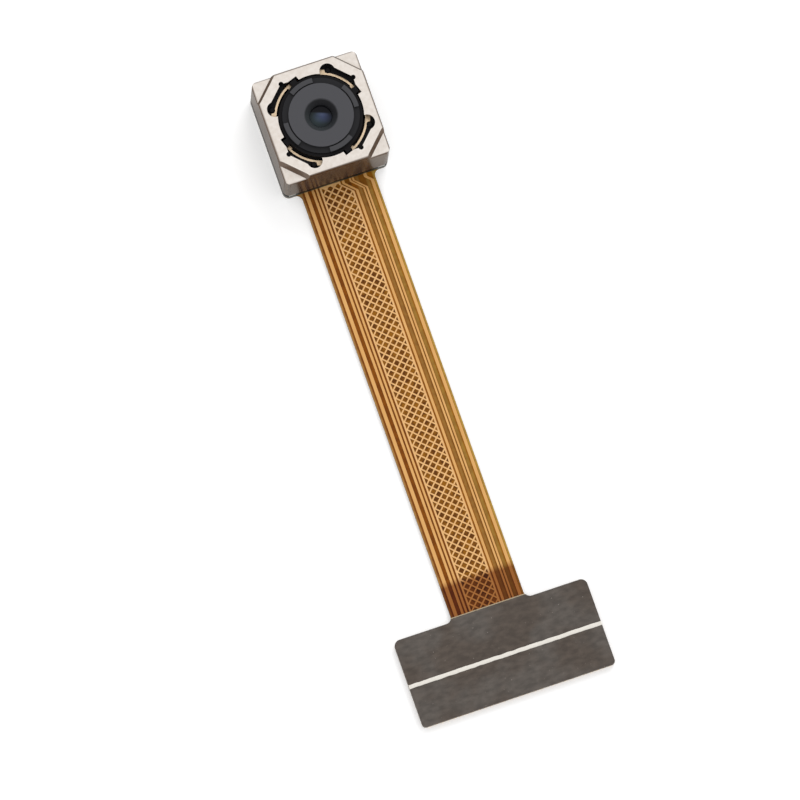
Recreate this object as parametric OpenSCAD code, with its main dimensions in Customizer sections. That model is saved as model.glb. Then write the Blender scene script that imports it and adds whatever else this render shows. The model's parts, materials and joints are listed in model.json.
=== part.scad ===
// Autofocus camera module on a flexible printed circuit.
// Lengths are in millimetres. The lens looks up, along +Z, and the flexible circuit leaves
// the head towards -Y. The origin is on the lens axis, on the underside of the head.

/* [Head] */
// Width of the square head, across X and along Y
head_w = 8.5; // [8.4:0.05:9.5]
// Radius of the head's upright corners
corner_r = 0.5; // [0.4:0.05:0.65]
// Thickness of the steel plate under the head
stiffener_t = 0.15; // [0.1:0.05:0.3]
// Thickness of the rigid board that carries the sensor
board_t = 0.3; // [0.2:0.05:0.5]
// Height of the black flange that shows below the can
flange_h = 0.38; // [0.34:0.02:0.6]

/* [Shield can] */
// Height of the can, from its lower edge to its top face
can_h = 4.25; // [4.1:0.05:5]
// Thickness of the sheet that the can is drawn from
can_t = 0.2; // [0.12:0.01:0.22]
// Outer radius of the bend round the raised top
can_bend_r = 0.34; // [0.3:0.02:0.4]
// Outer radius of the bend round the lowered corners
corner_bend_r = 0.24; // [0.24:0.02:0.3]
// Length that each cut-off corner takes from the raised top's sides
plateau_leg = 2.04; // [1.9:0.02:2.1]
// How far the four corners lie below the raised top
corner_drop = 0.62; // [0.5:0.02:0.7]
// Width of the slope from the raised top to a corner
drop_run = 0.24; // [0.16:0.02:0.3]
// Width of the top between the can's side and the round opening
top_margin = 0.95; // [0.92:0.01:1]

/* [Openings over the springs] */
// Radius of the wide end of each slot
slot_head_r = 0.6; // [0.5:0.02:0.6]
// Radius of the relief hole at the narrow end of each slot
slot_end_r = 0.19; // [0.17:0.01:0.21]
// Distance of the slots' outer edges from the opening's edge, beside the wide ends
slot_wide_out = 0.64; // [0.58:0.01:0.66]
// Distance of the slots' outer edges from the opening's edge, beside the narrow ends
slot_narrow_out = 0.61; // [0.56:0.01:0.64]
// Width of each stop notch along the opening's edge
notch_w = 0.8; // [0.74:0.02:0.9]
// Depth of the stop notches, outwards from the opening's edge
notch_depth = 0.32; // [0.28:0.01:0.34]
// Distance of the slots' wide ends from the opening's edge
slot_head_out = 0.26; // [0.24:0.01:0.3]
// Distance of the relief holes from the opening's edge
slot_end_out = 0.62; // [0.58:0.01:0.66]

/* [Autofocus drive] */
// How far the lens travels from rest to its nearest focus
focus_travel = 0.25; // [0.1:0.01:0.26]
// Room left above the moving parts at the end of the travel
travel_room = 0.1; // [0.08:0.01:0.2]
// Gap between the coil and what stands round it
running_gap = 0.1; // [0.08:0.01:0.12]
// Thickness of the leaf springs' sheet
spring_t = 0.05; // [0.03:0.01:0.06]
// Width of the upper spring's leaves
leaf_w = 0.17; // [0.14:0.01:0.19]
// Thickness of the actuator's base
base_t = 0.5; // [0.45:0.05:0.7]
// Height of the frame between the magnets and the upper springs
frame_h = 0.45; // [0.4:0.05:0.5]
// Gap between the lens carrier's rim and the can's opening
rim_gap = 0.1; // [0.08:0.01:0.14]
// Thickness of the carrier's rim
rim_wall = 0.28; // [0.26:0.01:0.3]
// Room between the voice coil and the can's walls
coil_room = 0.25; // [0.2:0.01:0.3]
// Depth of the voice coil's winding
coil_t = 0.42; // [0.36:0.01:0.44]
// How far the carrier's flanges stand out beside the winding
flange_lip = 0.22; // [0.16:0.01:0.24]
// Height of the voice coil
coil_h = 1.3; // [1:0.05:1.35]
// Length of a magnet along the can's wall
magnet_l = 2.35; // [2:0.05:2.5]

/* [Lens] */
// How far the barrel's head stands out over its threaded part
head_lip = 0.07; // [0.05:0.01:0.1]
// How far the barrel's front stands above the can
barrel_proud = 0.3; // [0.15:0.05:0.5]
// Width of the four key pads round the front face
pad_w = 0.37; // [0.3:0.01:0.45]
// Width of the groove between the front face and the key pads
pad_groove = 0.1; // [0.06:0.01:0.2]
// Depth of the step between the key pads
pad_step = 0.22; // [0.1:0.02:0.3]
// Angle that each key pad spans
pad_angle = 40; // [30:1:50]
// Radius of the mouth in the barrel's front face
mouth_r = 1.32; // [1.2:0.02:1.4]
// Radius of the aperture behind the mouth
aperture_r = 0.88; // [0.8:0.02:0.96]
// Depth of the mouth, from the front face to the aperture
mouth_depth = 0.5; // [0.4:0.05:0.6]

/* [Sensor] */
// Width of the image sensor
sensor_w = 5.2; // [4.8:0.1:5.4]
// Height of the image sensor
sensor_h = 4.2; // [3.8:0.1:4.4]
// Thickness of the image sensor
sensor_t = 0.15; // [0.1:0.05:0.2]
// Width of the infrared filter, a square
filter_w = 5.6; // [5.4:0.1:5.8]
// Thickness of the infrared filter
filter_t = 0.21; // [0.15:0.01:0.3]
// Height of the holder above its flange
plinth_h = 0.5; // [0.48:0.02:0.7]
// Thickness of the holder's shelf
shelf_t = 0.45; // [0.4:0.01:0.46]
// Bond wires along each side of the sensor
bond_wires_per_side = 16; // [8:1:20]

/* [Flexible circuit] */
// Thickness of the polyimide film
film_t = 0.12; // [0.1:0.01:0.2]
// Width of the long strip
strip_w = 5.9; // [5.8:0.1:7]
// Length of the strip, from the head to the plug end
strip_l = 35.3; // [20:0.1:60]
// Radius of the fillets where the strip meets the head and the plug end
neck_r = 0.5; // [0.3:0.05:0.8]
// Thickness of the copper
copper_t = 0.03; // [0.02:0.01:0.04]
// Distance between the crossings of the ground mesh
mesh_pitch = 0.648; // [0.6:0.004:0.8]
// Width of the lines of the ground mesh
mesh_line = 0.11; // [0.1:0.01:0.18]
// Width of the solid border round the ground mesh
mesh_border = 0.14; // [0.1:0.01:0.2]
// How far the right-hand tracks step sideways beside the head
track_jog = 0.8; // [0.4:0.05:0.9]

/* [Plug end] */
// Distance between neighbouring contacts
contact_pitch = 0.5; // [0.5:0.1:0.6]
// Number of contacts
contact_count = 30; // [24:1:40]
// Width of one contact
contact_w = 0.35; // [0.25:0.01:0.4]
// Length of the contacts
contact_l = 3.5; // [3:0.1:4]
// Length of the plug end, along the strip
plug_l = 7; // [6:0.1:9]
// Thickness of the stiffening plate on the plug end
plate_t = 0.2; // [0.15:0.01:0.3]
// Thickness of the adhesive under the plate
glue_t = 0.03; // [0.02:0.01:0.05]
// How far the plate reaches up the strip
plate_lip = 0.25; // [0.1:0.05:0.45]
// Distance of the insertion line from the end
line_at = 3.3; // [2.8:0.1:4]
// Width of the insertion line
line_w = 0.3; // [0.2:0.05:0.4]

/* [Hidden] */
$fn = 96;
eps = 0.01;

// Clearance between parts that are glued or slid together
fit = 0.05;
// Radial clearance of the lens thread
thread_fit = 0.02;

// Heights, from the underside of the head upwards
z_film = stiffener_t;
z_copper = z_film + film_t;
z_board = z_copper;
z_flange = z_board + board_t;
z_can = z_flange + flange_h;
z_base = z_can + plinth_h;
z_lower_spring = z_base + base_t;
z_magnet = z_lower_spring + spring_t;
z_top = z_can + can_h;
z_upper_spring = z_top - can_t - travel_room - focus_travel - spring_t;
z_frame = z_upper_spring - frame_h;
z_front = z_top + barrel_proud;
z_plate = z_copper + copper_t + glue_t;

// The can and what stands inside it
can_in = head_w / 2 - can_t;
inner_w = 2 * (can_in - fit);
plateau_d = (head_w - plateau_leg) / sqrt(2);
slope_wall = can_t * (norm([drop_run, corner_drop]) - drop_run) / corner_drop;
opening_r = head_w / 2 - top_margin;
notch_r = opening_r + notch_depth;

// The carrier and the barrel, from the opening inwards
carrier_rim_r = opening_r - rim_gap;
carrier_bore_r = carrier_rim_r - rim_wall;
barrel_thread_r = carrier_bore_r - thread_fit;
barrel_r = barrel_thread_r + head_lip;
pad_in_r = barrel_r - pad_w;
face_r = pad_in_r - pad_groove;

// The coil and the magnets, from the can's wall inwards
coil_r = can_in - coil_room;
coil_in_r = coil_r - coil_t;
carrier_flange_r = coil_in_r + flange_lip;
magnet_in_r = coil_r + running_gap;
magnet_chamfer = 0.6;

// The slots over the upper springs, one in each quarter turn
slot_head = polar(opening_r + slot_head_out, 63.3);
slot_end = polar(opening_r + slot_end_out, 32.2);
slot_edge_from = polar(opening_r + slot_wide_out, 56.2);
slot_edge_to = polar(opening_r + slot_narrow_out, 35.6);
notch_angle = 19;

// The leaves of the upper spring and the heat-formed posts that hold them. Each leaf runs
// round inside its slot, from a pad past its post to a foot over the carrier's lug
leaf_in_r = opening_r + 0.085;
leaf_out_r = leaf_in_r + leaf_w;
leaf_from = 24.4;
leaf_to = 77;
foot_to = 29;
pad_from = 66;
post_r = 0.12;
post_head_r = 0.26;
post_head_h = 0.1;
post_out = leaf_out_r - 0.04 + post_head_r;
post_at = polar(post_out, 63);

// The arms and the corner pads of the lower spring
low_arm_gap = 0.15;
low_arm_w = 0.15;
low_pad_w = 2.4;
low_pad_l = 0.9;

// The lens carrier and its coil, between the two springs
neck_lip = 0.06;
carrier_neck_r = carrier_rim_r + neck_lip;
flange_t = 0.15;
z_coil = z_frame - running_gap / 2 - focus_travel - flange_t - coil_h;
z_carrier = z_magnet;
rim_below = 0.06;
z_rim = z_top - rim_below;
lug_r = notch_r - running_gap;
lug_angle = 16;
lug_at = notch_angle + 3;
stop_w = 0.5;
frame_in_r = carrier_neck_r + running_gap + 0.02;

// The chip capacitors beside the sensor
chip_l = 0.6;
chip_w = 0.3;
chip_cap_l = 0.14;
chip_pitch = 1.2;

// The lenses, stacked behind the aperture: how far each one's edge lies inside the thread,
// the width of its flat rim, and how far it bulges up and down in the middle
lens_insets = [1.55, 1.25, 0.9, 0.55];
lens_rim = 0.47;
lens_sags = [[0.14, -0.08], [-0.15, -0.05], [-0.1, 0.02], [-0.15, 0.1]];
lens_gap = 0.04;
lens_edge_t = 0.45;
aperture_t = 0.1;
baffle_w = 0.38;
retainer_w = 0.33;
retainer_h = 0.3;
z_aperture = z_front - mouth_depth;
z_barrel = z_base + fit + 0.1;
lens_radii = [for (inset = lens_insets) barrel_thread_r - inset];
lens_bottoms = [for (i = [0:3]) z_aperture - aperture_t - (i + 1) * lens_edge_t - i * lens_gap];

// The strip and the plug end
y_head = -head_w / 2;
y_plug = y_head - strip_l;
y_end = y_plug - plug_l;
plug_w = (contact_count + 1) * contact_pitch;
plug_top_r = 0.5;
plug_end_r = 0.3;
// Middle and width of the solid tracks on each side of the ground mesh
LEFT_TRACKS = [[-2.53, 0.28], [-1.99, 0.2], [-1.68, 0.17]];
RIGHT_TRACKS = [[1.27, 0.2], [1.83, 0.15], [2.07, 0.15], [2.64, 0.25]];
mesh_left = -1.45;
mesh_right = 1.04;
jog_y = y_head - 0.25;

function polar(r, a) = [r * cos(a), r * sin(a)];

module quarters() {
  for (i = [0:3]) rotate(90 * i) children();
}

// A square with round corners, about the axis
module round_square(w, r) {
  square([w - 2 * r, w], center = true);
  square([w, w - 2 * r], center = true);
  quarters() translate([w / 2 - r, w / 2 - r]) circle(r);
}

// A rectangle with the two radii of its upper and of its lower corners
module plug_outline(w, l, top_r, end_r) {
  difference() {
    translate([-w / 2, -l]) square([w, l]);
    for (s = [-1, 1]) scale([s, 1]) {
      translate([w / 2 - top_r, -top_r]) corner_waste(top_r);
      translate([w / 2 - end_r, end_r - l]) rotate(-90) corner_waste(end_r);
    }
  }
}

// What a radius takes away from a square corner in the first quadrant
module corner_waste(r) {
  difference() {
    square(r + eps);
    circle(r);
  }
}

// A ring, and the part of it between two angles less than half a turn apart
module ring(r_in, r_out) {
  difference() {
    circle(r_out);
    circle(r_in);
  }
}

module ring_part(r_in, r_out, from, to) {
  far = r_out / cos((to - from) / 2) + 1;
  intersection() {
    ring(r_in, r_out);
    polygon([[0, 0], polar(far, from), polar(far, to)]);
  }
}

module tube(r_in, r_out, z, h) {
  translate([0, 0, z]) linear_extrude(h) ring(r_in, r_out);
}

module plate(z, h) {
  translate([0, 0, z]) linear_extrude(h) children();
}

/* The flexible circuit */

module head_stiffener() {
  color("silver") plate(0, stiffener_t) round_square(head_w, corner_r);
}

// The fillet between the strip's edge and a straight edge across its end
module neck_fillets(y, up) {
  for (s = [-1, 1])
    translate([s * (strip_w / 2 + neck_r), y - up * neck_r])
      rotate(up > 0 ? (s > 0 ? 90 : 0) : (s > 0 ? 180 : -90)) corner_waste(neck_r);
}

module film_outline() {
  round_square(head_w, corner_r);
  translate([-strip_w / 2, y_plug - eps]) square([strip_w, strip_l + 2 * eps]);
  translate([0, y_plug]) plug_outline(plug_w, plug_l, plug_top_r, plug_end_r);
  neck_fillets(y_head, 1);
  neck_fillets(y_plug, -1);
}

module flex_circuit() {
  color([0.42, 0.25, 0.08]) plate(z_film, film_t) film_outline();
}

// One copper track, which steps sideways by jog beside the head
module track(x, w, jog) {
  polygon([
    [x - w / 2 - jog, y_head], [x + w / 2 - jog, y_head],
    [x + w / 2 - jog, jog_y], [x + w / 2, jog_y - jog],
    [x + w / 2, y_plug], [x - w / 2, y_plug],
    [x - w / 2, jog_y - jog], [x - w / 2 - jog, jog_y]
  ]);
}

module signal_tracks() {
  color([0.86, 0.66, 0.4]) plate(z_copper, copper_t) {
    for (t = LEFT_TRACKS) track(t[0], t[1], 0);
    for (t = RIGHT_TRACKS) track(t[0], t[1], t[0] > 2.5 ? track_jog / 2 : track_jog);
  }
}

// The mesh's outline, whose upper right corner follows the first track's step
module mesh_outline(inset) {
  right = mesh_right - inset;
  top = y_head - inset;
  polygon([
    [mesh_left + inset, y_plug + inset], [right, y_plug + inset],
    [right, jog_y - track_jog], [right - track_jog, jog_y],
    [right - track_jog, top], [mesh_left + inset, top]
  ]);
}

module ground_mesh() {
  hole = mesh_pitch / sqrt(2) - mesh_line;
  rows = floor(2 * strip_l / mesh_pitch);
  reach = ceil((mesh_right - mesh_left) / mesh_pitch);
  color([0.86, 0.66, 0.4]) plate(z_copper, copper_t) difference() {
    mesh_outline(0);
    intersection() {
      mesh_outline(mesh_border);
      translate([0, y_plug]) for (row = [0:rows], i = [-reach:reach])
        translate([(i + (row % 2) / 2) * mesh_pitch, row * mesh_pitch / 2])
          rotate(45) square(hole, center = true);
    }
  }
}

module contact_fingers() {
  color("gold") plate(z_film - copper_t, copper_t)
    for (i = [0:contact_count - 1])
      translate([(i - (contact_count - 1) / 2) * contact_pitch - contact_w / 2, y_end])
        square([contact_w, contact_l]);
}

// The plate covers the plug end and the lowest part of the strip and its fillets
module plate_outline(lip) {
  intersection() {
    film_outline();
    translate([-plug_w / 2, y_end]) square([plug_w, plug_l + lip]);
  }
}

module plate_adhesive() {
  color([0.8, 0.72, 0.55]) difference() {
    plate(z_copper, copper_t + glue_t) plate_outline(plate_lip + 0.1);
    plate(z_copper - eps, copper_t + eps)
      translate([-strip_w / 2, y_plug]) square([strip_w, strip_l]);
  }
}

module plug_plate() {
  color([0.37, 0.35, 0.33]) plate(z_plate, plate_t) plate_outline(plate_lip);
}

module insertion_line() {
  color([0.9, 0.87, 0.82]) plate(z_plate + plate_t, 0.02)
    translate([-plug_w / 2, y_end + line_at - line_w / 2]) square([plug_w, line_w]);
}

/* The sensor and its holder */

module sensor_board() {
  color([0.1, 0.25, 0.14]) plate(z_board, board_t) round_square(head_w, corner_r);
}

module image_sensor() {
  color([0.2, 0.24, 0.34]) {
    translate([-sensor_w / 2, -sensor_h / 2, z_flange]) cube([sensor_w, sensor_h, sensor_t]);
    translate([-sensor_w / 2 + 0.35, -sensor_h / 2 + 0.3, z_flange])
      cube([sensor_w - 0.7, sensor_h - 0.6, sensor_t + 0.02]);
  }
}

// Looped wires from the sensor's upper edge down to the board
module bond_wires() {
  wire = 0.05;
  run = 0.5;
  pitch = (sensor_h - 0.5) / (bond_wires_per_side - 1);
  x = sensor_w / 2 - 0.15;
  color("gold") for (s = [-1, 1], i = [0:bond_wires_per_side - 1])
    scale([s, 1, 1]) translate([x, i * pitch - sensor_h / 2 + 0.25 + wire / 2, z_flange])
      rotate([90, 0, 0]) linear_extrude(wire) polygon([
        [0, sensor_t], [0.04, sensor_t + 0.12], [0.2, sensor_t + 0.12], [run, 0.1], [run, 0],
        [run - wire, 0], [run - wire, 0.08], [0.19, sensor_t + 0.07], [wire + 0.03, sensor_t + 0.07],
        [wire, sensor_t]
      ]);
}

// Ceramic chips with a slightly larger metal cap at each end
module chip_capacitors() {
  color([0.72, 0.6, 0.45]) for (i = [-2:2])
    translate([i * chip_pitch, sensor_h / 2 + chip_w + 0.25, z_flange]) {
      translate([-chip_l / 2, 0.01 - chip_w / 2, 0.01]) cube([chip_l, chip_w - 0.02, chip_w - 0.04]);
      for (s = [0, 1]) translate([s * (chip_l - chip_cap_l) - chip_l / 2, -chip_w / 2, 0])
        cube([chip_cap_l, chip_w, chip_w - 0.02]);
    }
}

module autofocus_driver() {
  color([0.12, 0.12, 0.13])
    translate([-0.8, -sensor_h / 2 - 1, z_flange]) cube([1.6, 0.75, 0.3]);
}

module terminal_places() {
  for (s = [-1, 1]) translate([s * (head_w / 2 - 0.65), y_head]) children();
}

module sensor_holder() {
  cavity_w = inner_w - 1;
  window_w = sensor_w - 0.5;
  window_h = sensor_h - 0.4;
  pocket = filter_w + 2 * fit;
  color([0.09, 0.09, 0.1]) difference() {
    union() {
      plate(z_flange, flange_h) round_square(head_w, corner_r);
      plate(z_flange, flange_h + plinth_h) round_square(inner_w, corner_r - can_t + fit);
    }
    plate(z_flange - eps, flange_h + plinth_h - shelf_t + eps) round_square(cavity_w, 0.3);
    translate([-window_w / 2, -window_h / 2, z_flange]) cube([window_w, window_h, 2]);
    translate([-pocket / 2, -pocket / 2, z_base - filter_t]) cube([pocket, pocket, 1]);
    // Clefts for the two terminals and their solder
    plate(z_flange - eps, flange_h + plinth_h + 2 * eps)
      terminal_places() translate([-0.35, -eps]) square([0.7, 0.4]);
  }
}

module infrared_filter() {
  color([0.5, 0.75, 0.85]) translate([-filter_w / 2, -filter_w / 2, z_base - filter_t])
    cube([filter_w, filter_w, filter_t]);
}

/* The autofocus drive */

// The square inside of the can, with its corners cut off at a distance from the axis
module cut_square(w, d) {
  intersection() {
    square(w, center = true);
    rotate(45) square(2 * d, center = true);
  }
}

module actuator_base() {
  well_r = carrier_flange_r + running_gap;
  color([0.08, 0.08, 0.09]) difference() {
    plate(z_base, base_t) round_square(inner_w, corner_r - can_t + fit);
    plate(z_base - eps, base_t + 2 * eps) circle(carrier_rim_r - 0.1);
    // A shallow well under the moving ring of the lower spring
    plate(z_lower_spring - running_gap, 1) circle(well_r);
    plate(z_base - eps, base_t + 2 * eps)
      terminal_places() translate([-0.25, -eps]) square([0.5, 0.4]);
  }
}

// Bent strips from the base down to the board, one at each end of the front edge
module coil_terminals() {
  leg_y = can_t + fit + 0.02;
  color([0.85, 0.75, 0.45]) terminal_places() {
    translate([-0.2, leg_y, z_flange + 0.02])
      cube([0.4, 0.1, z_lower_spring - z_flange - 0.02]);
    translate([-0.2, leg_y - 0.15, z_flange + 0.02]) cube([0.4, 0.2, 0.1]);
  }
}

// A fillet of solder in front of each terminal
module solder_joints() {
  r = 0.24;
  w = 0.6;
  leg_y = can_t + fit + 0.02;
  color([0.75, 0.75, 0.72]) difference() {
    terminal_places() translate([-w / 2, leg_y, z_flange]) rotate([0, 90, 0]) linear_extrude(w)
      intersection() {
        circle(r);
        translate([-r, -r]) square([r, r]);
      }
    terminal_places() translate([-0.2, leg_y - 0.15, z_flange + 0.02]) cube([0.4, 0.2, 0.1]);
  }
}

module lower_spring() {
  ring_in = carrier_bore_r + 0.1;
  ring_out = carrier_flange_r - 0.25;
  arm_in = ring_out + low_arm_gap;
  arm_out = arm_in + low_arm_w;
  pad_from = magnet_in_r + running_gap;
  color("goldenrod") plate(z_lower_spring, spring_t) {
    ring(ring_in, ring_out);
    quarters() {
      // Corner pad between the base and a magnet
      rotate(45) intersection() {
        translate([pad_from, -low_pad_w / 2]) square([low_pad_l, low_pad_w]);
        rotate(45) square(inner_w - 2 * fit, center = true);
      }
      // Arm from the ring round to the pad
      ring_part(arm_in, arm_out, 5, 58);
      ring_part(ring_out - eps, arm_out, 2, 8);
      rotate(55) translate([arm_in, -low_arm_w / 2])
        square([pad_from + low_arm_w - arm_in, low_arm_w]);
    }
  }
}

module magnets() {
  color([0.55, 0.56, 0.58]) plate(z_magnet, z_frame - z_magnet) quarters() difference() {
    intersection() {
      square(inner_w / 2 - 0.02);
      rotate(45) translate([0, -head_w / 2])
        square([can_in * sqrt(2) - magnet_chamfer, head_w]);
    }
    circle(magnet_in_r);
    square([can_in - magnet_l, head_w]);
    square([head_w, can_in - magnet_l]);
  }
}

module lug_sector(r, clearance) {
  quarters() ring_part(carrier_bore_r, r, lug_at - lug_angle / 2 - clearance,
    lug_at + lug_angle / 2 + clearance);
}

module spring_frame() {
  color([0.1, 0.1, 0.11]) {
    plate(z_frame, frame_h) difference() {
      cut_square(inner_w, plateau_d - can_t);
      circle(frame_in_r);
      lug_sector(notch_r + running_gap / 2, 3);
    }
    // Posts through the springs, whose tops are formed over to heads
    quarters() translate([post_at[0], post_at[1], z_frame]) {
      cylinder(h = frame_h + spring_t, r = post_r);
      translate([0, 0, frame_h + spring_t])
        cylinder(h = post_head_h, r1 = post_head_r, r2 = post_head_r * 0.6);
    }
  }
}

// Four leaves, each with an eye under its post's head, a pad beside it and a foot
module upper_spring() {
  color("gold") plate(z_upper_spring, spring_t) quarters() difference() {
    union() {
      ring_part(leaf_in_r, leaf_out_r, leaf_from, leaf_to);
      ring_part(leaf_in_r, post_out, pad_from, leaf_to);
      ring_part(carrier_neck_r, leaf_out_r, leaf_from, foot_to);
      translate(post_at) circle(post_head_r - 0.04);
    }
    translate(post_at) circle(post_r);
  }
}

/* The can */

// The form that the can is drawn to, outside or inside: a square box whose corners are
// lower than its top
module can_form(half, r, bend_r, low_bend_r, top, d, drop) {
  module box_to(z, bend_r) {
    intersection() {
      linear_extrude(z) round_square(2 * half, r);
      for_both_ways() translate([0, half, 0]) rotate([90, 0, 0]) linear_extrude(2 * half) {
        translate([-half, -1]) square([2 * half, z + 1 - bend_r]);
        translate([bend_r - half, -1]) square([2 * (half - bend_r), z + 1]);
        for (s = [-1, 1]) translate([s * (half - bend_r), z - bend_r]) circle(bend_r);
      }
    }
  }
  box_to(top - drop, low_bend_r);
  difference() {
    box_to(top, bend_r);
    quarters() rotate(45) translate([0, half, top]) rotate([90, 0, 0]) linear_extrude(2 * half)
      polygon([[d, eps], [d, 0], [d + drop_run, -drop], [d + drop_run, -top - 1],
        [2 * half, -top - 1], [2 * half, eps]]);
  }
}

module for_both_ways() {
  intersection() {
    children();
    rotate(90) children();
  }
}

// One slot over a spring: a wide round end, a straight outer edge and a small relief hole,
// open to the middle and to the stop notch
module spring_slot() {
  translate(slot_head) circle(slot_head_r);
  translate(slot_end) circle(slot_end_r);
  polygon([
    slot_head, slot_edge_from, slot_edge_to, slot_end, polar(notch_r, notch_angle + 5),
    polar(opening_r - 0.1, notch_angle + 5), polar(opening_r - 0.3, 50),
    polar(opening_r - 0.1, 70)
  ]);
}

module can_opening() {
  circle(opening_r);
  quarters() {
    spring_slot();
    rotate(notch_angle) translate([0, -notch_w / 2]) square([notch_r, notch_w]);
  }
}

module shield_can() {
  color([0.74, 0.71, 0.67]) translate([0, 0, z_can]) difference() {
    can_form(head_w / 2, corner_r, can_bend_r, corner_bend_r, can_h, plateau_d, corner_drop);
    translate([0, 0, -eps]) can_form(can_in, corner_r - can_t, can_bend_r - can_t,
      corner_bend_r - can_t, can_h - can_t + eps, plateau_d - slope_wall, corner_drop);
    translate([0, 0, can_h - 1]) linear_extrude(2) can_opening();
  }
}

/* The moving lens */

module lens_carrier() {
  z_low_flange = z_coil - flange_t;
  color([0.07, 0.07, 0.08]) {
    tube(carrier_bore_r, coil_in_r, z_carrier, z_coil + coil_h + flange_t - z_carrier);
    tube(carrier_bore_r, carrier_flange_r, z_low_flange, flange_t);
    tube(carrier_bore_r, carrier_flange_r, z_coil + coil_h, flange_t);
    tube(carrier_bore_r, carrier_neck_r, z_carrier, z_upper_spring - z_carrier);
    tube(carrier_bore_r, carrier_rim_r, z_carrier, z_rim - z_carrier);
    // Lugs under the springs' inner ends, and the stops that rise through the can's notches
    plate(z_coil + coil_h, z_upper_spring - z_coil - coil_h) lug_sector(lug_r, 0);
    plate(z_coil + coil_h, z_rim - z_coil - coil_h) quarters() rotate(notch_angle)
      translate([carrier_bore_r + 0.1, 0.03 - stop_w / 2])
        square([lug_r - carrier_bore_r - 0.1, stop_w]);
  }
}

module voice_coil() {
  color([0.72, 0.4, 0.2]) tube(coil_in_r, coil_r, z_coil, coil_h);
}

module lens_barrel() {
  color([0.13, 0.13, 0.14]) difference() {
    union() {
      tube(aperture_r, barrel_thread_r, z_barrel, z_front - pad_step - z_barrel);
      tube(aperture_r, barrel_r, z_rim + 0.03, z_front - pad_step - z_rim - 0.03);
      tube(aperture_r, face_r, z_rim, z_front - z_rim);
      plate(z_rim, z_front - 0.02 - z_rim) for (i = [0:3])
        ring_part(pad_in_r, barrel_r, 15 - pad_angle / 2 + 90 * i, 15 + pad_angle / 2 + 90 * i);
    }
    translate([0, 0, z_aperture])
      cylinder(h = mouth_depth + eps, r1 = aperture_r, r2 = mouth_r);
    // Seats for the lenses, each wider than the one in front of it
    for (i = [0:3]) translate([0, 0, z_barrel - eps])
      cylinder(h = lens_bottoms[i] + lens_edge_t + (i == 0 ? 0 : lens_gap) - z_barrel + eps,
        r = lens_radii[i] + thread_fit);
  }
}

// A moulded lens with a flat rim, whose middle bulges or sinks on both sides
module moulded_lens(i) {
  r = lens_radii[i];
  z = lens_bottoms[i];
  clear_r = r - lens_rim;
  above = lens_sags[i][0];
  below = lens_sags[i][1];
  steps = 8;
  translate([0, 0, z]) rotate_extrude() polygon(concat(
    [for (k = [0:steps]) [clear_r * k / steps, -below * (1 - pow(k / steps, 2))]],
    [[r, 0], [r, lens_edge_t]],
    [for (k = [steps:-1:0]) [clear_r * k / steps, lens_edge_t + above * (1 - pow(k / steps, 2))]]
  ));
}

module front_lens() {
  color([0.35, 0.5, 0.6]) moulded_lens(0);
}

module second_lens() {
  color([0.4, 0.5, 0.55]) moulded_lens(1);
}

module third_lens() {
  color([0.4, 0.5, 0.55]) moulded_lens(2);
}

module field_lens() {
  color([0.4, 0.5, 0.55]) moulded_lens(3);
}

// Thin black rings that hold the lenses apart
module baffle_rings() {
  color("black") for (i = [0:2])
    tube(lens_radii[i] - baffle_w, lens_radii[i], lens_bottoms[i] - lens_gap, lens_gap);
}

module lens_retainer() {
  r = lens_radii[3];
  color([0.1, 0.1, 0.11]) tube(r - retainer_w, r, lens_bottoms[3] - retainer_h, retainer_h);
}

head_stiffener();
flex_circuit();
signal_tracks();
ground_mesh();
contact_fingers();
plate_adhesive();
plug_plate();
insertion_line();
sensor_board();
image_sensor();
bond_wires();
chip_capacitors();
autofocus_driver();
sensor_holder();
infrared_filter();
actuator_base();
coil_terminals();
solder_joints();
lower_spring();
magnets();
spring_frame();
upper_spring();
shield_can();
lens_carrier();
voice_coil();
lens_barrel();
front_lens();
second_lens();
third_lens();
field_lens();
baffle_rings();
lens_retainer();
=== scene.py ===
import json
import math

import bpy
from mathutils import Matrix, Vector

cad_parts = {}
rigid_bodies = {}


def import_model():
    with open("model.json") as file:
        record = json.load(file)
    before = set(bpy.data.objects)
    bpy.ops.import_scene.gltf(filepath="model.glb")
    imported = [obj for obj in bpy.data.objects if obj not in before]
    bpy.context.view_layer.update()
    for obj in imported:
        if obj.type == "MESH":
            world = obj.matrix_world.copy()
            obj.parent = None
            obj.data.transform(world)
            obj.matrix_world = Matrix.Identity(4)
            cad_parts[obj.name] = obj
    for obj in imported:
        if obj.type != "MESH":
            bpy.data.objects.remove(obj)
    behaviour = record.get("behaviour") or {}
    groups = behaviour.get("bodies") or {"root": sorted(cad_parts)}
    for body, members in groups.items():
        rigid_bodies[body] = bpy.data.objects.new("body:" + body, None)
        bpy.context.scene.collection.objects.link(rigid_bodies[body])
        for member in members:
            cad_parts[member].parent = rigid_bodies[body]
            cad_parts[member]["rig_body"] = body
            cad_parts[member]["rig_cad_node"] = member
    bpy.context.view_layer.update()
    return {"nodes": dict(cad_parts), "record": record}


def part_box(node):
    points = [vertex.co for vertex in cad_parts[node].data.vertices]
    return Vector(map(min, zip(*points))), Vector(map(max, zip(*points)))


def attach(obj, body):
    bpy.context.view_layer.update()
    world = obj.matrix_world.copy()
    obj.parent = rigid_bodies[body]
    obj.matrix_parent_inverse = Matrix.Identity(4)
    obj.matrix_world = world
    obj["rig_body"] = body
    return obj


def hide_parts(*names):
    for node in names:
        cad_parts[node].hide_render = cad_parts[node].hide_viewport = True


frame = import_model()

MM = 0.001
nodes = frame["nodes"]
body_of = {}
for body, members in frame["record"]["behaviour"]["bodies"].items():
    body_of.update(dict.fromkeys(members, body))


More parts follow.
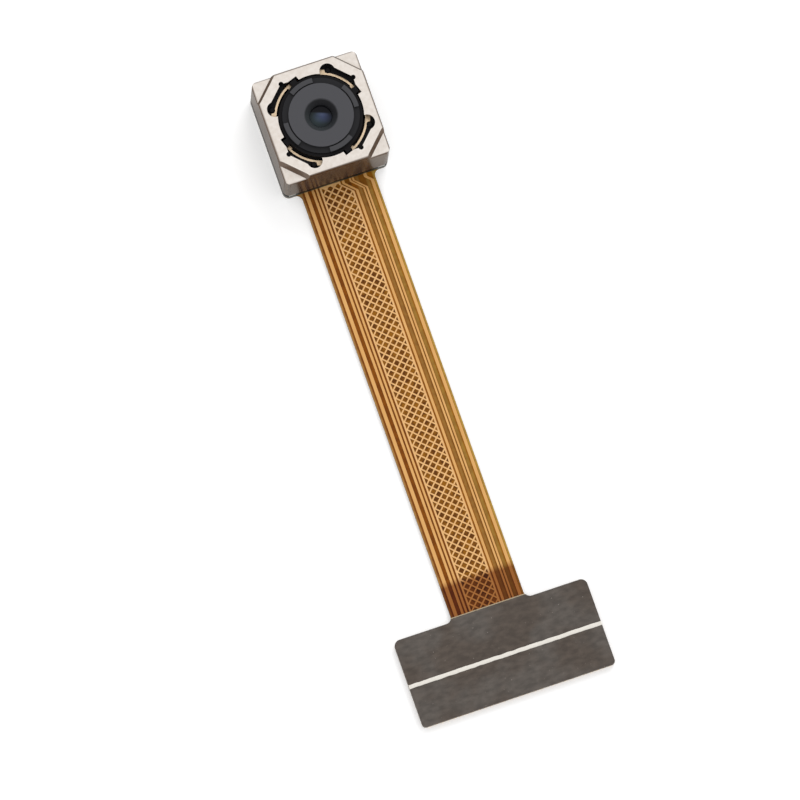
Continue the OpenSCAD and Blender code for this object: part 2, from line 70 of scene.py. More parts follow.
# ---- Camera ----
# A long lens a little over half a metre away, high above the front left corner of the head,
# so that the can's left and front walls both show and the strip runs down to the right.
camera_turn = math.radians(-30.5)
camera_tilt = math.radians(77.5)
camera_roll = math.radians(11.55)
camera_distance = 0.6
view_width = 61.05 * MM
sensor_width = 36
aim = Vector((0, -21 * MM, 1 * MM))
aim_right = -0.7 * MM
aim_up = -1.36 * MM

backwards = Vector((math.sin(camera_turn) * math.cos(camera_tilt),
                    -math.cos(camera_turn) * math.cos(camera_tilt),
                    math.sin(camera_tilt)))
level_right = Vector((math.cos(camera_turn), math.sin(camera_turn), 0))
level_up = backwards.cross(level_right)
right = level_right * math.cos(camera_roll) + level_up * math.sin(camera_roll)
up = level_up * math.cos(camera_roll) - level_right * math.sin(camera_roll)
bpy.ops.object.camera_add()
camera = bpy.context.object
camera.name = "bench_camera"
camera.data.sensor_width = sensor_width
camera.data.lens = sensor_width * camera_distance / view_width
axes = Matrix((right, up, backwards)).transposed().to_4x4()
place = aim + right * aim_right + up * aim_up + backwards * camera_distance
camera.matrix_world = Matrix.Translation(place) @ axes
bpy.context.scene.camera = camera
bpy.context.scene.view_settings.view_transform = "Standard"


# ---- Floor and light ----
# A sheet of white paper under the part, a bright even sky, and one soft box behind the
# right shoulder of the head. The paper looks white, and still carries the part's shadow.
floor_size = 1.6
floor_drop = 0.02 * MM
paper_colour = (0.82, 0.82, 0.82, 1)
paper_rough = 0.9
paper_lift = 0.30
sky_strength = 0.92
box_place = Vector((0.25, 0.30, 0.33))
box_size = 0.30
box_power = 0.85

bpy.ops.object.select_all(action="DESELECT")
bpy.ops.mesh.primitive_plane_add(size=floor_size, location=(0, 0, -floor_drop))
floor = bpy.context.object
floor.name = "paper_floor"
bpy.ops.object.transform_apply(location=True, rotation=True, scale=True)
paper = bpy.data.materials.new("white_paper")
paper.use_nodes = True
tree = paper.node_tree
diffuse = tree.nodes["Principled BSDF"]
diffuse.inputs["Base Color"].default_value = paper_colour
diffuse.inputs["Roughness"].default_value = paper_rough
diffuse.inputs["Specular IOR Level"].default_value = 0
glow = tree.nodes.new("ShaderNodeEmission")
glow.inputs["Strength"].default_value = paper_lift
both = tree.nodes.new("ShaderNodeAddShader")
ray = tree.nodes.new("ShaderNodeLightPath")
seen = tree.nodes.new("ShaderNodeMath")
seen.operation = "MAXIMUM"
mirrored = tree.nodes.new("ShaderNodeMath")
mirrored.operation = "MAXIMUM"
pick = tree.nodes.new("ShaderNodeMixShader")
tree.links.new(ray.outputs["Is Camera Ray"], seen.inputs[0])
tree.links.new(ray.outputs["Is Transmission Ray"], seen.inputs[1])
tree.links.new(diffuse.outputs[0], both.inputs[0])
tree.links.new(glow.outputs[0], both.inputs[1])
tree.links.new(seen.outputs[0], mirrored.inputs[0])
tree.links.new(ray.outputs["Is Glossy Ray"], mirrored.inputs[1])
tree.links.new(mirrored.outputs[0], pick.inputs["Fac"])
tree.links.new(diffuse.outputs[0], pick.inputs[1])
tree.links.new(both.outputs[0], pick.inputs[2])
tree.links.new(pick.outputs[0], tree.nodes["Material Output"].inputs["Surface"])
floor.data.materials.append(paper)

sky = bpy.data.worlds.new("even_sky")
sky.use_nodes = True
sky.node_tree.nodes["Background"].inputs["Color"].default_value = (1, 1, 1, 1)
sky.node_tree.nodes["Background"].inputs["Strength"].default_value = sky_strength
bpy.context.scene.world = sky

bpy.ops.object.light_add(type="AREA", location=box_place)
lamp = bpy.context.object
lamp.name = "soft_box"
lamp.data.size = box_size
lamp.data.energy = box_power
lamp.visible_glossy = False
lamp.rotation_mode = "QUATERNION"
lamp.rotation_quaternion = (aim - box_place).to_track_quat("-Z", "Y")


# ---- Plate under the head ----
# A thin stamped steel plate that the head is bonded down by. Its section also sets out how
# a finish is made here: one shader, with grain from a group that every material shares.
coat_rough = 0.12
weld_gap = 0.0005 * MM
flat_within = 0.5
edge_steps = 2


def grain_group():
    group = bpy.data.node_groups.new("surface_grain", "ShaderNodeTree")
    face = group.interface
    face.new_socket("Scale", in_out="INPUT", socket_type="NodeSocketFloat")
    face.new_socket("Stretch", in_out="INPUT", socket_type="NodeSocketVector")
    face.new_socket("Detail", in_out="INPUT", socket_type="NodeSocketFloat")
    face.new_socket("Depth", in_out="INPUT", socket_type="NodeSocketFloat")
    face.new_socket("Mask", in_out="OUTPUT", socket_type="NodeSocketFloat")
    face.new_socket("Normal", in_out="OUTPUT", socket_type="NodeSocketVector")
    inside = group.nodes.new("NodeGroupInput")
    outside = group.nodes.new("NodeGroupOutput")
    place = group.nodes.new("ShaderNodeTexCoord")
    stretch = group.nodes.new("ShaderNodeVectorMath")
    stretch.operation = "MULTIPLY"
    noise = group.nodes.new("ShaderNodeTexNoise")
    bump = group.nodes.new("ShaderNodeBump")
    link = group.links.new
    link(place.outputs["Object"], stretch.inputs[0])
    link(inside.outputs["Stretch"], stretch.inputs[1])
    link(stretch.outputs[0], noise.inputs["Vector"])
    link(inside.outputs["Scale"], noise.inputs["Scale"])
    link(inside.outputs["Detail"], noise.inputs["Detail"])
    link(noise.outputs["Fac"], bump.inputs["Height"])
    link(inside.outputs["Depth"], bump.inputs["Distance"])
    link(noise.outputs["Fac"], outside.inputs["Mask"])
    link(bump.outputs["Normal"], outside.inputs["Normal"])
    return group


surface_grain = grain_group()


def span(tree, start, stop, low=0, high=1):
    """A map of a value, from the range between start and stop to that between low and high."""
    node = tree.nodes.new("ShaderNodeMapRange")
    node.inputs["From Min"].default_value = start
    node.inputs["From Max"].default_value = stop
    node.inputs["To Min"].default_value = low
    node.inputs["To Max"].default_value = high
    return node


def blend(tree, first=None, second=None, mode="MIX"):
    """A mix of two colours, each of which is set here or linked later."""
    node = tree.nodes.new("ShaderNodeMix")
    node.data_type = "RGBA"
    node.blend_type = mode
    for socket, colour in (("A", first), ("B", second)):
        if colour:
            node.inputs[socket].default_value = (*colour, 1)
    return node


def speckle(tree, grain_mm, detail):
    """A noise with grains of the given size."""
    node = tree.nodes.new("ShaderNodeTexNoise")
    node.inputs["Scale"].default_value = 1 / (grain_mm * MM)
    node.inputs["Detail"].default_value = detail
    return node


def finish(name, dark, light, rough, metal=0.0, grain_mm=0.1, depth_mm=0.002,
           stretch=(1, 1, 1), coat=0.0, detail=4, shine=0.5, rim_tint=(1, 1, 1)):
    """A finish whose colour runs between two shades and whose roughness between two values,
    both by a grain of the given size."""
    material = bpy.data.materials.new(name)
    material.use_nodes = True
    tree = material.node_tree
    shader = tree.nodes["Principled BSDF"]
    shader.inputs["Metallic"].default_value = metal
    shader.inputs["Coat Weight"].default_value = coat
    shader.inputs["Coat Roughness"].default_value = coat_rough
    shader.inputs["Specular IOR Level"].default_value = shine
    shader.inputs["Specular Tint"].default_value = (*rim_tint, 1)
    grain = tree.nodes.new("ShaderNodeGroup")
    grain.node_tree = surface_grain
    grain.name = "grain"
    grain.inputs["Scale"].default_value = 1 / (grain_mm * MM)
    grain.inputs["Stretch"].default_value = stretch
    grain.inputs["Detail"].default_value = detail
    grain.inputs["Depth"].default_value = depth_mm * MM
    shade = blend(tree, dark, light)
    shade.name = "shade"
    gloss = span(tree, 0, 1, *rough)
    gloss.name = "gloss"
    link = tree.links.new
    link(grain.outputs["Mask"], shade.inputs["Factor"])
    link(grain.outputs["Mask"], gloss.inputs["Value"])
    link(shade.outputs["Result"], shader.inputs["Base Color"])
    link(gloss.outputs["Result"], shader.inputs["Roughness"])
    link(grain.outputs["Normal"], shader.inputs["Normal"])
    return material


def srgb(red, green, blue):
    """The linear shade of a colour written as on a paint card, 0 to 255."""
    def linear(value):
        value /= 255
        return value / 12.92 if value <= 0.04045 else ((value + 0.055) / 1.055) ** 2.4
    return linear(red), linear(green), linear(blue)


def coat_node(node, material):
    """Gives a node of the frame its material, in every slot."""
    mesh = nodes[node].data
    mesh.materials.clear()
    mesh.materials.append(material)


def dress(node, material, edge_mm, name, smooth=35):
    """A copy of a node with its edges eased, as a real part's are, which stands for it."""
    bpy.ops.object.select_all(action="DESELECT")
    piece = nodes[node].copy()
    piece.data = nodes[node].data.copy()
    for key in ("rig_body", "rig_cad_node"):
        if key in piece:
            del piece[key]
    piece.parent = None
    piece.name = name
    bpy.context.scene.collection.objects.link(piece)
    piece.select_set(True)
    bpy.context.view_layer.objects.active = piece
    bpy.ops.mesh.customdata_custom_splitnormals_clear()
    bpy.ops.object.mode_set(mode="EDIT")
    bpy.ops.mesh.select_all(action="SELECT")
    bpy.ops.mesh.remove_doubles(threshold=weld_gap)
    bpy.ops.mesh.dissolve_limited(angle_limit=math.radians(flat_within))
    bpy.ops.object.mode_set(mode="OBJECT")
    bevel = piece.modifiers.new("eased_edges", "BEVEL")
    bevel.width = edge_mm * MM
    bevel.segments = edge_steps
    bevel.limit_method = "ANGLE"
    bevel.angle_limit = math.radians(smooth)
    bpy.ops.object.modifier_apply(modifier=bevel.name)
    bpy.ops.object.shade_smooth_by_angle(angle=math.radians(smooth))
    even = piece.modifiers.new("even_shading", "WEIGHTED_NORMAL")
    even.keep_sharp = True
    bpy.ops.object.modifier_apply(modifier=even.name)
    piece.data.materials.clear()
    piece.data.materials.append(material)
    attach(piece, body_of[node])
    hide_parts(node)
    return piece


steel = finish("satin_steel", srgb(168, 164, 158), srgb(196, 192, 186), (0.30, 0.42), metal=1,
               grain_mm=0.06, depth_mm=0.001, stretch=(0.1, 1, 1))
dress("head_stiffener", steel, 0.03, "head_plate")


# ---- Flexible film ----
# Amber polyimide film with copper on its upper side, laminated under a clear amber cover.
# Its colour runs in bands along the strip, where copper on the far side shines through.
film_dark = srgb(118, 70, 20)
# The next colour is painted shade for the film's cut edges.
film_side_painted_shade = srgb(84, 48, 16)
film_bands = (
    # distance from the strip's middle in mm, the colour from there on, and how mottled it is
    (-3.00, srgb(158, 118, 66), 0.2),
    (-2.82, srgb(122, 64, 2), 0.3),
    (-1.40, srgb(124, 74, 12), 0.85),
    (1.00, srgb(142, 82, 6), 0.25),
    (1.44, srgb(144, 100, 44), 0.2),
    (1.66, srgb(126, 76, 12), 0.25),
    (2.18, srgb(148, 108, 44), 0.2),
    (2.42, srgb(144, 88, 6), 0.25),
    (2.80, srgb(170, 134, 60), 0.2),
)
half_strip_mm = 3.0
blend_mm = 0.05
# Painted shade on the strip beside the plug: from this far before the plate its colours are
# multiplied darker, with a soft edge.
near_plug = 2.9 * MM
plug_shade_soft = 0.5 * MM
plug_shade_colour = (0.43, 0.27, 0.13)


# A group that multiplies a colour by a darker shade beyond a given Y: painted shade beside the
# plug.
def plug_shade_group():
    group = bpy.data.node_groups.new("painted_plug_shade", "ShaderNodeTree")
    face = group.interface
    face.new_socket("Color", in_out="INPUT", socket_type="NodeSocketColor")
    face.new_socket("From", in_out="INPUT", socket_type="NodeSocketFloat")
    face.new_socket("Shade", in_out="INPUT", socket_type="NodeSocketColor")
    face.new_socket("Color", in_out="OUTPUT", socket_type="NodeSocketColor")
    inside = group.nodes.new("NodeGroupInput")
    outside = group.nodes.new("NodeGroupOutput")
    place = group.nodes.new("ShaderNodeTexCoord")
    split = group.nodes.new("ShaderNodeSeparateXYZ")
    below = group.nodes.new("ShaderNodeMath")
    below.operation = "SUBTRACT"
    edge = group.nodes.new("ShaderNodeMath")
    edge.operation = "MULTIPLY"
    edge.use_clamp = True
    edge.inputs[1].default_value = 1 / plug_shade_soft
    shade = blend(group, mode="MULTIPLY")
    link = group.links.new
    link(place.outputs["Object"], split.inputs[0])
    link(inside.outputs["From"], below.inputs[0])
    link(split.outputs["Y"], below.inputs[1])
    link(below.outputs[0], edge.inputs[0])
    link(edge.outputs[0], shade.inputs["Factor"])
    link(inside.outputs["Color"], shade.inputs["A"])
    link(inside.outputs["Shade"], shade.inputs["B"])
    link(shade.outputs["Result"], outside.inputs["Color"])
    return group


painted_plug_shade = plug_shade_group()


def paint_plug_shade(material, colour):
    """Paints shade on a material beside the plug, darkening its colour there."""
    tree = material.node_tree
    plug_shade_node = tree.nodes.new("ShaderNodeGroup")
    plug_shade_node.node_tree = painted_plug_shade
    plug_shade_node.inputs["From"].default_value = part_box("plug_plate")[1][1] + near_plug
    plug_shade_node.inputs["Shade"].default_value = (*plug_shade_colour, 1)
    tree.links.new(colour, plug_shade_node.inputs["Color"])
    tree.links.new(plug_shade_node.outputs["Color"], tree.nodes["Principled BSDF"].inputs["Base Color"])


cell_dark = (0.50, 0.42, 0.40)
cell_light = (1.45, 1.60, 1.50)
cell_mm = 0.42
cell_range = (0.36, 0.66)
facing_up = (-0.5, 0.5)
under_mottle = 0.2
side_slopes = (0.3, 0.7)
film = finish("amber_film", film_dark, film_dark, (0.32, 0.46), grain_mm=0.5, depth_mm=0.002,
              stretch=(1, 0.12, 1), shine=0.12)
tree = film.node_tree
place = tree.nodes.new("ShaderNodeTexCoord")
split = tree.nodes.new("ShaderNodeSeparateXYZ")
across = span(tree, -half_strip_mm * MM, half_strip_mm * MM)
bands = tree.nodes.new("ShaderNodeValToRGB")
ramp = bands.color_ramp
ramp.interpolation = "LINEAR"
previous = (*film_bands[0][1], film_bands[0][2])
stops = []
for start, colour, mottled in film_bands:
    stops.append((start - blend_mm, previous))
    previous = (*colour, mottled)
    stops.append((start + blend_mm, previous))
while len(ramp.elements) < len(stops):
    ramp.elements.new(1)
for element, (start, colour) in zip(ramp.elements, stops):
    element.position = (start + half_strip_mm) / (2 * half_strip_mm)
    element.color = colour
tint = blend(tree, mode="MULTIPLY")
cells = speckle(tree, cell_mm, 1)
spread = span(tree, *cell_range)
fade = blend(tree, cell_dark, cell_light)
link = tree.links.new
link(place.outputs["Object"], split.inputs[0])
link(split.outputs["X"], across.inputs["Value"])
link(across.outputs["Result"], bands.inputs["Fac"])
link(bands.outputs["Color"], tint.inputs["A"])
upper_side = span(tree, *facing_up, low=under_mottle)
mottle = tree.nodes.new("ShaderNodeMath")
mottle.operation = "MULTIPLY"
link(bands.outputs["Alpha"], mottle.inputs[0])
link(upper_side.outputs["Result"], mottle.inputs[1])
link(mottle.outputs[0], tint.inputs["Factor"])
link(place.outputs["Object"], cells.inputs["Vector"])
link(cells.outputs["Fac"], spread.inputs["Value"])
link(spread.outputs["Result"], fade.inputs["Factor"])
link(fade.outputs["Result"], tint.inputs["B"])
# Painted shade: faces of the film that turn sideways, its cut edges, take the darker side
# colour.
side_on = tree.nodes.new("ShaderNodeSeparateXYZ")
painted_side_mask = span(tree, *side_slopes)
side_shaded = blend(tree, film_side_painted_shade)
link(place.outputs["Normal"], side_on.inputs[0])
upright = tree.nodes.new("ShaderNodeMath")
upright.operation = "ABSOLUTE"
link(side_on.outputs["Z"], upright.inputs[0])
link(side_on.outputs["Z"], upper_side.inputs["Value"])
link(upright.outputs[0], painted_side_mask.inputs["Value"])
link(painted_side_mask.outputs["Result"], side_shaded.inputs["Factor"])
link(tint.outputs["Result"], side_shaded.inputs["B"])
paint_plug_shade(film, side_shaded.outputs["Result"])
dress("flex_circuit", film, 0.015, "amber_strip")


# ---- Copper on the strip ----
# Etched copper, seen golden through the cover film: solid tracks at both sides and the mesh
# of crossed lines between them. The contacts under the plug end are plated with gold.
track_copper = finish("copper_under_film", srgb(206, 148, 78), srgb(234, 184, 116), (0.25, 0.45),
                      metal=0.3, grain_mm=0.25, depth_mm=0.002, stretch=(1, 0.1, 1), coat=0.1,
                      shine=0.3)
# The same painted shade beside the plug as on the film.
paint_plug_shade(track_copper, track_copper.node_tree.nodes["shade"].outputs["Result"])
dress("signal_tracks", track_copper, 0.012, "copper_tracks")
mesh_copper = finish("mesh_copper_under_film", srgb(213, 159, 95), srgb(246, 199, 138),
                     (0.25, 0.45), metal=0.3, grain_mm=0.2, depth_mm=0.002, coat=0.1, shine=0.3)
# The same painted shade beside the plug as on the film.
paint_plug_shade(mesh_copper, mesh_copper.node_tree.nodes["shade"].outputs["Result"])
coat_node("ground_mesh", mesh_copper)
contact_gold = finish("plated_gold", srgb(214, 170, 90), srgb(236, 196, 120), (0.18, 0.30),
                      metal=1, grain_mm=0.08, depth_mm=0.0005, stretch=(1, 0.2, 1))
coat_node("contact_fingers", contact_gold)


# ---- Plug end ----
# A dark stiffening plate glued on the film, opposite the contacts, with a white line that
# shows how far the end goes into its connector.
plate_brown = srgb(79, 70, 63)
plate_grey = srgb(86, 80, 75)
plate_speck = srgb(168, 158, 148)
patch_mm = 3.4
patch_range = (0.42, 0.58)
blotch_range = (0.34, 0.66)
speck_mm = 0.13
speck_range = (0.76, 0.82)
long_edge = 10 * MM
print_steps = 90
print_wave = 0.55 * MM
print_wander = 0.09 * MM
plate_finish = finish("dark_laminate", (0.78, 0.77, 0.76), (1.18, 1.17, 1.16), (0.42, 0.60),
                      grain_mm=0.7, depth_mm=0.004, detail=8, shine=0.3, stretch=(1, 1.8, 1))
tree = plate_finish.node_tree
place = tree.nodes.new("ShaderNodeTexCoord")
patches = speckle(tree, patch_mm, 3)
worn_in = span(tree, *patch_range)
body = blend(tree, plate_brown, plate_grey)
clear = span(tree, *blotch_range)
blotched = blend(tree, mode="MULTIPLY")
blotched.inputs["Factor"].default_value = 1
dust = speckle(tree, speck_mm, 1)
rare = span(tree, *speck_range)
specked = blend(tree, second=plate_speck)
link = tree.links.new
link(place.outputs["Object"], patches.inputs["Vector"])
link(place.outputs["Object"], dust.inputs["Vector"])
link(patches.outputs["Fac"], worn_in.inputs["Value"])
link(worn_in.outputs["Result"], body.inputs["Factor"])
link(tree.nodes["grain"].outputs["Mask"], clear.inputs["Value"])
link(clear.outputs["Result"], tree.nodes["shade"].inputs["Factor"])
link(body.outputs["Result"], blotched.inputs["A"])
link(tree.nodes["shade"].outputs["Result"], blotched.inputs["B"])
link(dust.outputs["Fac"], rare.inputs["Value"])
link(rare.outputs["Result"], specked.inputs["Factor"])
link(blotched.outputs["Result"], specked.inputs["A"])
link(specked.outputs["Result"], tree.nodes["Principled BSDF"].inputs["Base Color"])
dress("plug_plate", plate_finish, 0.03, "stiffening_plate")
glue = finish("dry_adhesive", srgb(168, 150, 120), srgb(206, 190, 160), (0.5, 0.7),
              grain_mm=0.15, depth_mm=0.002)
coat_node("plate_adhesive", glue)
ink = finish("white_ink", srgb(214, 208, 198), srgb(236, 232, 224), (0.55, 0.75),
             grain_mm=0.12, depth_mm=0.003)
line = dress("insertion_line", ink, 0.004, "printed_line")
bpy.ops.object.select_all(action="DESELECT")
line.select_set(True)
bpy.context.view_layer.objects.active = line
bpy.ops.object.mode_set(mode="EDIT")
bpy.ops.mesh.select_mode(type="EDGE")
bpy.ops.mesh.select_all(action="DESELECT")
bpy.ops.object.mode_set(mode="OBJECT")
for edge in line.data.edges:
    ends = [line.data.vertices[i].co for i in edge.vertices]
    edge.select = abs(ends[0].x - ends[1].x) > long_edge
bpy.ops.object.mode_set(mode="EDIT")
bpy.ops.mesh.subdivide(number_cuts=print_steps)
bpy.ops.mesh.select_mode(type="VERT")
bpy.ops.object.mode_set(mode="OBJECT")
uneven = bpy.data.textures.new("uneven_print", "CLOUDS")
uneven.noise_scale = print_wave
print_edge = line.modifiers.new("print_edge", "DISPLACE")
print_edge.texture = uneven
print_edge.texture_coords = "LOCAL"
print_edge.direction = "Y"
print_edge.strength = print_wander
bpy.ops.object.modifier_apply(modifier=print_edge.name)


# ---- Board and sensor ----
# A small rigid board with the sensor die, its gold bond wires, ceramic chips and the driver.
board_finish = finish("green_black_board", srgb(30, 40, 32), srgb(44, 56, 46), (0.35, 0.5),
                      grain_mm=0.3, depth_mm=0.003)
dress("sensor_board", board_finish, 0.02, "rigid_board")
silicon = finish("sensor_silicon", srgb(60, 66, 96), srgb(90, 84, 112), (0.08, 0.16), metal=0.6,
                 grain_mm=0.05, depth_mm=0.0003, coat=0.5)
coat_node("image_sensor", silicon)
coat_node("bond_wires", contact_gold)
ceramic = finish("chip_ceramic", srgb(150, 118, 88), srgb(176, 146, 114), (0.4, 0.6),
                 grain_mm=0.08, depth_mm=0.002)
coat_node("chip_capacitors", ceramic)
chip_black = finish("chip_black", srgb(30, 30, 32), srgb(44, 44, 47), (0.4, 0.55),
                    grain_mm=0.06, depth_mm=0.001)
coat_node("autofocus_driver", chip_black)


# ---- Holder and base ----
# Black moulded polymer: the holder on the board, with the filter glass in its pocket, the
# drive's base on the holder, and the frame under the upper springs.
moulding = finish("black_moulding", srgb(9, 8, 10), srgb(21, 19, 21), (0.45, 0.62),
                  grain_mm=0.05, depth_mm=0.0015, shine=0.14)
dress("sensor_holder", moulding, 0.03, "moulded_holder")
coat_node("actuator_base", moulding)
dress("spring_frame", moulding, 0.02, "moulded_frame")
filter_clear = 0.9
filter_glass = finish("filter_glass", srgb(150, 200, 214), srgb(160, 206, 220), (0.02, 0.05),
                      grain_mm=0.5, depth_mm=0.0001)
filter_shader = filter_glass.node_tree.nodes["Principled BSDF"]
filter_shader.inputs["Transmission Weight"].default_value = filter_clear
coat_node("infrared_filter", filter_glass)


# ---- Metal of the drive ----
# Nickel-plated magnets, bronze leaf springs, the terminals and their solder.
plated = finish("plated_magnet", srgb(140, 140, 144), srgb(166, 166, 170), (0.25, 0.4), metal=1,
                grain_mm=0.1, depth_mm=0.001)
coat_node("magnets", plated)
# The leaf springs' base colour is lightened far past bronze and made less metallic, as a painted
# highlight that keeps them bright in the can's shade.
painted_bright_bronze = finish("bronze_leaf_painted_highlight", srgb(255, 216, 172), srgb(255, 238, 208), (0.3, 0.45),
                       metal=0.3, grain_mm=0.12, depth_mm=0.0006)
coat_node("lower_spring", painted_bright_bronze)
dress("upper_spring", painted_bright_bronze, 0.01, "leaf_springs")
coat_node("coil_terminals", contact_gold)
solder = finish("solder", srgb(176, 174, 168), srgb(206, 204, 198), (0.2, 0.36), metal=0.9,
                grain_mm=0.12, depth_mm=0.004)
dress("solder_joints", solder, 0.03, "solder_fillets")


# ---- Can ----
# Drawn from one sheet of nickel-plated steel, satin, with a raised top and lower corners.
# Its walls are smoother and carry faint marks of the drawing.
can_finish = finish("satin_nickel", srgb(222, 210, 198), srgb(254, 248, 242), (0.32, 0.48),
                    metal=0.9, grain_mm=0.35, depth_mm=0.002, rim_tint=(0.4, 0.38, 0.36))
# Painted shade and painted reflection: walls and bends are painted darker than the top by how
# far each face turns upwards, darkest at the bends.
painted_wall_shade = srgb(156, 146, 138)
painted_bend_shade = srgb(112, 98, 88)
wall_rough = 0.24
painted_slope_shades = (
    # how far a face turns upwards, and the painted shade it gets
    (0.06, painted_wall_shade),
    (0.22, painted_bend_shade),
    (0.50, painted_bend_shade),
    (0.80, painted_wall_shade),
)
flat_range = (0.6, 0.97)
draw_mark_mm = 0.16
draw_stretch = (1, 1, 0.06)
mark_range = (0.3, 0.7)
mark_shades = (0.90, 1.06)
tree = can_finish.node_tree
place = tree.nodes.new("ShaderNodeTexCoord")
split = tree.nodes.new("ShaderNodeSeparateXYZ")
painted_slope = tree.nodes.new("ShaderNodeValToRGB")
painted_slope.color_ramp.interpolation = "EASE"
marks = tree.nodes.new("ShaderNodeGroup")
marks.node_tree = surface_grain
marks.inputs["Scale"].default_value = 1 / (draw_mark_mm * MM)
marks.inputs["Stretch"].default_value = draw_stretch
marks.inputs["Detail"].default_value = 3
marks.inputs["Depth"].default_value = 0.0
while len(painted_slope.color_ramp.elements) < len(painted_slope_shades):
    painted_slope.color_ramp.elements.new(1)
for element, (rise, shade) in zip(painted_slope.color_ramp.elements, painted_slope_shades):
    element.position = rise
    element.color = (*shade, 1)
drawn_marks = span(tree, *mark_range, *mark_shades)
# The faint draw marks are real. The colour they darken holds painted shade.
streaks_and_painted_shade = blend(tree, mode="MULTIPLY")
streaks_and_painted_shade.inputs["Factor"].default_value = 1
flatness = span(tree, *flat_range)
flatness.interpolation_type = "SMOOTHSTEP"
walls_and_top = blend(tree)
polish = tree.nodes.new("ShaderNodeMix")
polish.inputs["A"].default_value = wall_rough
link = tree.links.new
link(place.outputs["Normal"], split.inputs[0])
link(split.outputs["Z"], flatness.inputs["Value"])
link(split.outputs["Z"], painted_slope.inputs["Fac"])
link(marks.outputs["Mask"], drawn_marks.inputs["Value"])
link(painted_slope.outputs["Color"], streaks_and_painted_shade.inputs["A"])
link(drawn_marks.outputs["Result"], streaks_and_painted_shade.inputs["B"])
link(flatness.outputs["Result"], walls_and_top.inputs["Factor"])
link(streaks_and_painted_shade.outputs["Result"], walls_and_top.inputs["A"])
link(tree.nodes["shade"].outputs["Result"], walls_and_top.inputs["B"])
link(walls_and_top.outputs["Result"], tree.nodes["Principled BSDF"].inputs["Base Color"])
link(flatness.outputs["Result"], polish.inputs["Factor"])
link(tree.nodes["gloss"].outputs["Result"], polish.inputs["B"])
link(polish.outputs["Result"], tree.nodes["Principled BSDF"].inputs["Roughness"])
dress("shield_can", can_finish, 0.035, "drawn_can")


# ---- Lens carrier and coil ----
# The black ring that the barrel screws into, with the wound coil round it.
dress("lens_carrier", moulding, 0.02, "moulded_carrier")
coil_finish = finish("enamelled_wire", srgb(150, 84, 40), srgb(196, 116, 60), (0.25, 0.4),
                     metal=0.7, grain_mm=0.05, depth_mm=0.006, stretch=(0.01, 0.01, 1))
coat_node("voice_coil", coil_finish)


# ---- Barrel ----
# Moulded in black, with a fine matt grey front: a flat face, four key pads round it that a
# driver turns, and a mouth that narrows to the aperture, with painted shade at its upper right
# and painted light at its lower left.
barrel_finish = finish("barrel_black", srgb(14, 14, 17), srgb(24, 24, 28), (0.5, 0.62),
                       grain_mm=0.04, depth_mm=0.001, shine=0.3)
face_shade = srgb(70, 70, 74)
pad_shade = srgb(62, 62, 65)
mouth_painted_shade = srgb(22, 22, 26)
mouth_painted_light = srgb(50, 54, 56)
mouth_edge = 1.33 * MM
mouth_fade = 0.2 * MM
painted_light_slant = (1.1 * MM, -1.5 * MM)
barrel_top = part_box("lens_barrel")[1][2]
front_starts = 0.16 * MM
front_full = 0.03 * MM
pad_inside = 2.54 * MM
pad_seam = 0.01 * MM
tree = barrel_finish.node_tree
place = tree.nodes.new("ShaderNodeTexCoord")
flat = tree.nodes.new("ShaderNodeVectorMath")
flat.operation = "MULTIPLY"
flat.inputs[1].default_value = (1, 1, 0)
radius = tree.nodes.new("ShaderNodeVectorMath")
radius.operation = "LENGTH"
outside = span(tree, pad_inside - pad_seam, pad_inside + pad_seam)
front = blend(tree, face_shade, pad_shade)
split = tree.nodes.new("ShaderNodeSeparateXYZ")
height = span(tree, barrel_top - front_starts, barrel_top - front_full)
height.interpolation_type = "SMOOTHSTEP"
within = span(tree, mouth_edge - mouth_fade, mouth_edge)
inner = blend(tree)
# Painted light and shade on the mouth: darker towards the upper right, lighter towards the lower
# left.
toward_light = tree.nodes.new("ShaderNodeMath")
toward_light.operation = "ADD"
painted_light_side = span(tree, *painted_light_slant)
painted_mouth_shading = blend(tree, mouth_painted_shade, mouth_painted_light)
worn = blend(tree)
link = tree.links.new
link(place.outputs["Object"], flat.inputs[0])
link(flat.outputs[0], radius.inputs[0])
link(radius.outputs["Value"], outside.inputs["Value"])
link(outside.outputs["Result"], front.inputs["Factor"])
link(place.outputs["Object"], split.inputs[0])
link(split.outputs["Z"], height.inputs["Value"])
link(height.outputs["Result"], worn.inputs["Factor"])
link(tree.nodes["shade"].outputs["Result"], worn.inputs["A"])
link(front.outputs["Result"], worn.inputs["B"])
link(radius.outputs["Value"], within.inputs["Value"])
link(within.outputs["Result"], inner.inputs["Factor"])
link(split.outputs["X"], toward_light.inputs[0])
link(split.outputs["Y"], toward_light.inputs[1])
link(toward_light.outputs[0], painted_light_side.inputs["Value"])
link(painted_light_side.outputs["Result"], painted_mouth_shading.inputs["Factor"])
link(painted_mouth_shading.outputs["Result"], inner.inputs["A"])
link(worn.outputs["Result"], inner.inputs["B"])
link(inner.outputs["Result"], tree.nodes["Principled BSDF"].inputs["Base Color"])
dress("lens_barrel", barrel_finish, 0.02, "moulded_barrel")
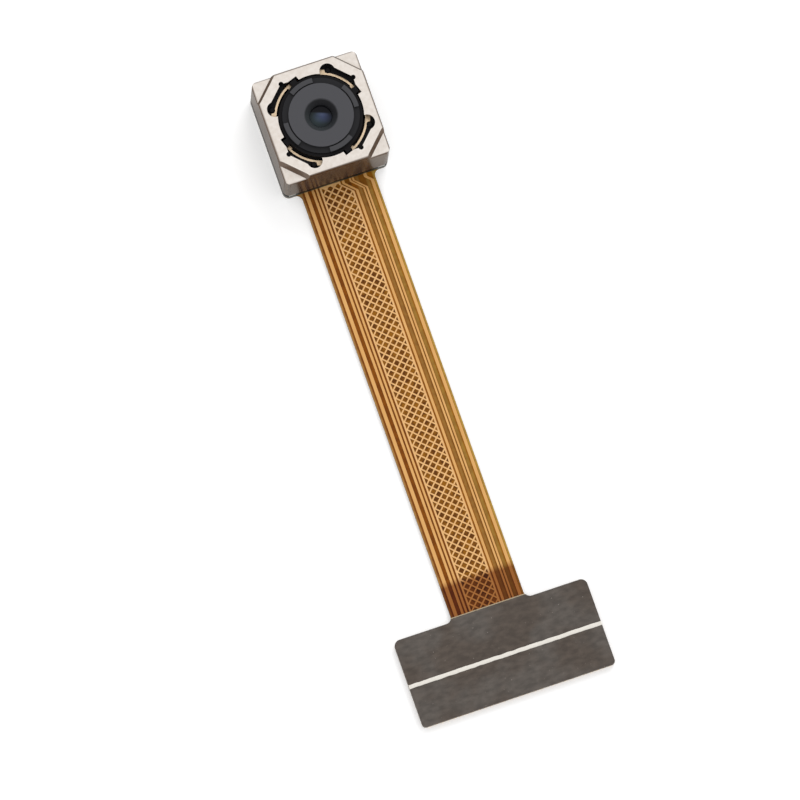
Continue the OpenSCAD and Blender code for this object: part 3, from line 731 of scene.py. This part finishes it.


# ---- Lenses ----
# Moulded lenses behind the mouth, with green and blue coatings, thin black rings between
# them and a black ring that holds the last one in. The coatings' reflections are painted on as
# coloured patches, only on the lit side of a painted shadow edge.
coated = finish("coated_lens", srgb(16, 16, 19), srgb(22, 22, 26), (0.03, 0.06), grain_mm=1.6,
                depth_mm=0.0, detail=1, shine=0.1)
glow_edge_turn = -21.3
glow_edge_mm = 0.29
glow_soft_mm = 0.07
painted_lens_reflections = (
    # painted reflection's colour, middle in mm from the axis, reach along and across in mm, turn
    # in degrees
    (srgb(46, 58, 60), (-0.36, -0.18), (1.30, 1.20), 0),
    (srgb(36, 38, 74), (0.10, -0.08), (0.80, 0.56), -21),
    (srgb(42, 47, 62), (0.14, 0.12), (0.55, 0.20), -21),
)
tree = coated.node_tree
place = tree.nodes.new("ShaderNodeTexCoord")
along = tree.nodes.new("ShaderNodeMapping")
along.vector_type = "TEXTURE"
along.inputs["Rotation"].default_value = (0, 0, math.radians(glow_edge_turn))
past = tree.nodes.new("ShaderNodeSeparateXYZ")
lit = span(tree, (glow_edge_mm + glow_soft_mm) * MM, (glow_edge_mm - glow_soft_mm) * MM)
lit.interpolation_type = "SMOOTHSTEP"
link = tree.links.new
link(place.outputs["Object"], along.inputs["Vector"])
link(along.outputs["Vector"], past.inputs[0])
link(past.outputs["Y"], lit.inputs["Value"])
shaded = tree.nodes["shade"].outputs["Result"]
# Each patch is a painted reflection, added to the base colour only where the painted shadow edge
# leaves the lens lit.
for tint, middle, reach, turn in painted_lens_reflections:
    frame_of = tree.nodes.new("ShaderNodeMapping")
    frame_of.vector_type = "TEXTURE"
    frame_of.inputs["Location"].default_value = (middle[0] * MM, middle[1] * MM, 0)
    frame_of.inputs["Rotation"].default_value = (0, 0, math.radians(turn))
    frame_of.inputs["Scale"].default_value = (reach[0] * MM, reach[1] * MM, 1)
    glow_shape = tree.nodes.new("ShaderNodeTexGradient")
    glow_shape.gradient_type = "SPHERICAL"
    masked = tree.nodes.new("ShaderNodeMath")
    masked.operation = "MULTIPLY"
    glow = blend(tree, second=tint, mode="ADD")
    link(place.outputs["Object"], frame_of.inputs["Vector"])
    link(frame_of.outputs["Vector"], glow_shape.inputs["Vector"])
    link(glow_shape.outputs["Fac"], masked.inputs[0])
    link(lit.outputs["Result"], masked.inputs[1])
    link(masked.outputs[0], glow.inputs["Factor"])
    link(shaded, glow.inputs["A"])
    shaded = glow.outputs["Result"]
link(shaded, tree.nodes["Principled BSDF"].inputs["Base Color"])
coat_node("front_lens", coated)
for node in ("second_lens", "third_lens", "field_lens"):
    coat_node(node, coated)
baffle = finish("baffle_black", srgb(10, 10, 10), srgb(16, 16, 16), (0.7, 0.85), grain_mm=0.05,
                depth_mm=0.001)
coat_node("baffle_rings", baffle)
coat_node("lens_retainer", baffle)
